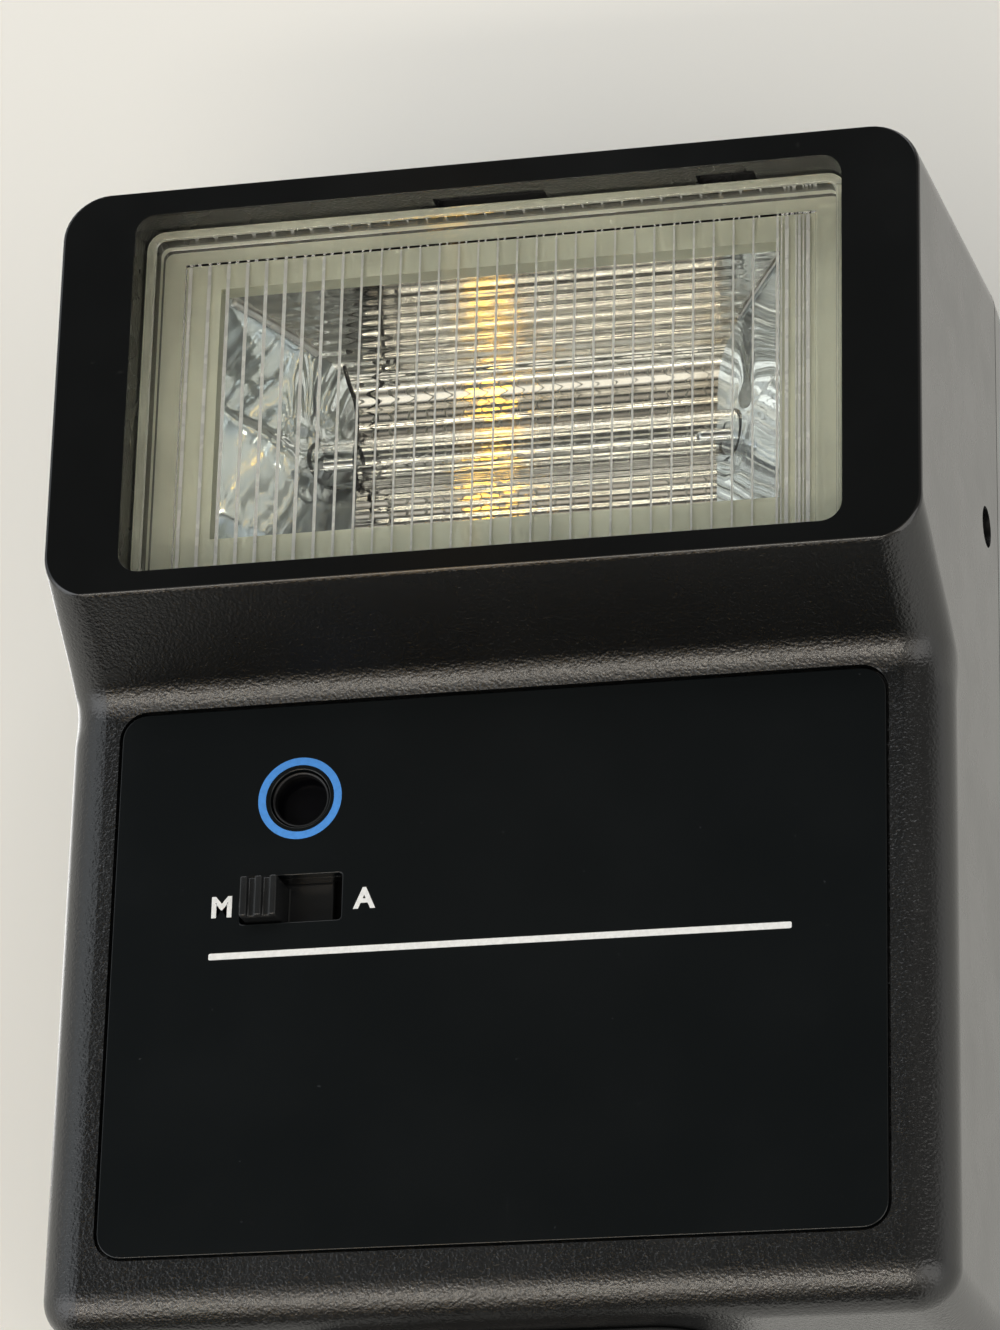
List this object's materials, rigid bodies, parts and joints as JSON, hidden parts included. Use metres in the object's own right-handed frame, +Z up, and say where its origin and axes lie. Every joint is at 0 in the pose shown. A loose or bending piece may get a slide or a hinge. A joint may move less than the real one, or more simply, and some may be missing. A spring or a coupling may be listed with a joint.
{
  "type": "camera flash",
  "caption": "Compact shoe-mount camera flash: ribbed flash window over a set-back panel with light sensor and mode switch, rear controls, sliding battery door and shoe foot.",
  "frame": {"origin": "centre of the shoe foot's flat underside", "axes": "+Z up through the body, the flash faces -Y, +X to the right seen from the front"},
  "size_m": [0.0688, 0.0389, 0.0988],
  "materials": {
    "shell_black": "fine spark grain",
    "panel_black": "satin",
    "rear_label": "satin",
    "window_clear": "clear, ribbed",
    "surround": "satin",
    "reflector_silver": "bright",
    "tube_glass": "clear",
    "bright_metal": "plated",
    "sleeve_rubber": "matt",
    "sensor_black": "gloss",
    "board_tan": "matt",
    "component_tan": "satin",
    "switch_black": "matt",
    "knob_black": "gloss",
    "core_iron": "matt",
    "winding_copper": "enamelled",
    "coil_red": "satin",
    "capacitor_sleeve": "gloss",
    "lamp_glass": "clear",
    "ready_orange": "translucent",
    "button_red": "gloss",
    "cell_jacket": "printed jacket",
    "spring_steel": "plated",
    "contact_brass": "plated",
    "lead_red": "satin",
    "foot_black": "satin"
  },
  "bodies": {
    "body": {"front_shell": "shell_black", "rear_shell": "shell_black", "front_panel": "panel_black", "rear_panel": "rear_label", "flash_window": "window_clear", "reflector_frame": "surround", "reflector": "reflector_silver", "flash_tube": "tube_glass", "tube_caps": "bright_metal", "tube_sleeves": "sleeve_rubber", "sensor_tube": "sensor_black", "sensor_lens": "sensor_black", "light_sensor": "sensor_black", "front_board": "board_tan", "board_components": "component_tan", "board_screws": "bright_metal", "mode_switch_base": "switch_black", "rear_board": "board_tan", "rear_board_screws": "bright_metal", "transformer_core": "core_iron", "transformer_winding": "winding_copper", "trigger_coil": "coil_red", "main_capacitor": "capacitor_sleeve", "power_switch_base": "switch_black", "ready_lamp": "lamp_glass", "ready_window": "ready_orange", "test_switch_base": "switch_black", "battery_tray": "switch_black", "battery_cells": "cell_jacket", "battery_springs": "spring_steel", "battery_plates": "contact_brass", "sync_socket": "bright_metal", "tube_leads": "lead_red", "foot_block": "foot_black", "foot_neck": "foot_black", "foot_plate": "foot_black", "foot_rivets": "bright_metal", "foot_screws": "bright_metal", "ground_contact": "contact_brass", "pin_spring": "spring_steel", "case_screws": "bright_metal"},
    "mode_slider": {"mode_knob": "knob_black"},
    "power_slider": {"power_knob": "knob_black"},
    "test_key": {"test_button": "button_red"},
    "door": {"battery_door": "shell_black"},
    "shoe_pin": {"contact_pin": "contact_brass"}
  },
  "joints": [
    {"name": "mode_slide", "type": "slide", "parent": "body", "child": "mode_slider", "axis": [1, 0, 0], "range_m": [0, 0.0044]},
    {"name": "power_slide", "type": "slide", "parent": "body", "child": "power_slider", "axis": [1, 0, 0], "range_m": [0, 0.004]},
    {"name": "test_press", "type": "slide", "parent": "body", "child": "test_key", "axis": [0, -1, 0], "range_m": [0, 0.0008], "stiffness_N_per_m": 800, "springref_m": -0.001},
    {"name": "door_slide", "type": "slide", "parent": "body", "child": "door", "axis": [0, 0, -1], "range_m": [0, 0.036]},
    {"name": "pin_press", "type": "slide", "parent": "body", "child": "shoe_pin", "axis": [0, 0, 1], "range_m": [0, 0.0006], "stiffness_N_per_m": 600, "springref_m": -0.001, "deforming": ["pin_spring"]}
  ]
}
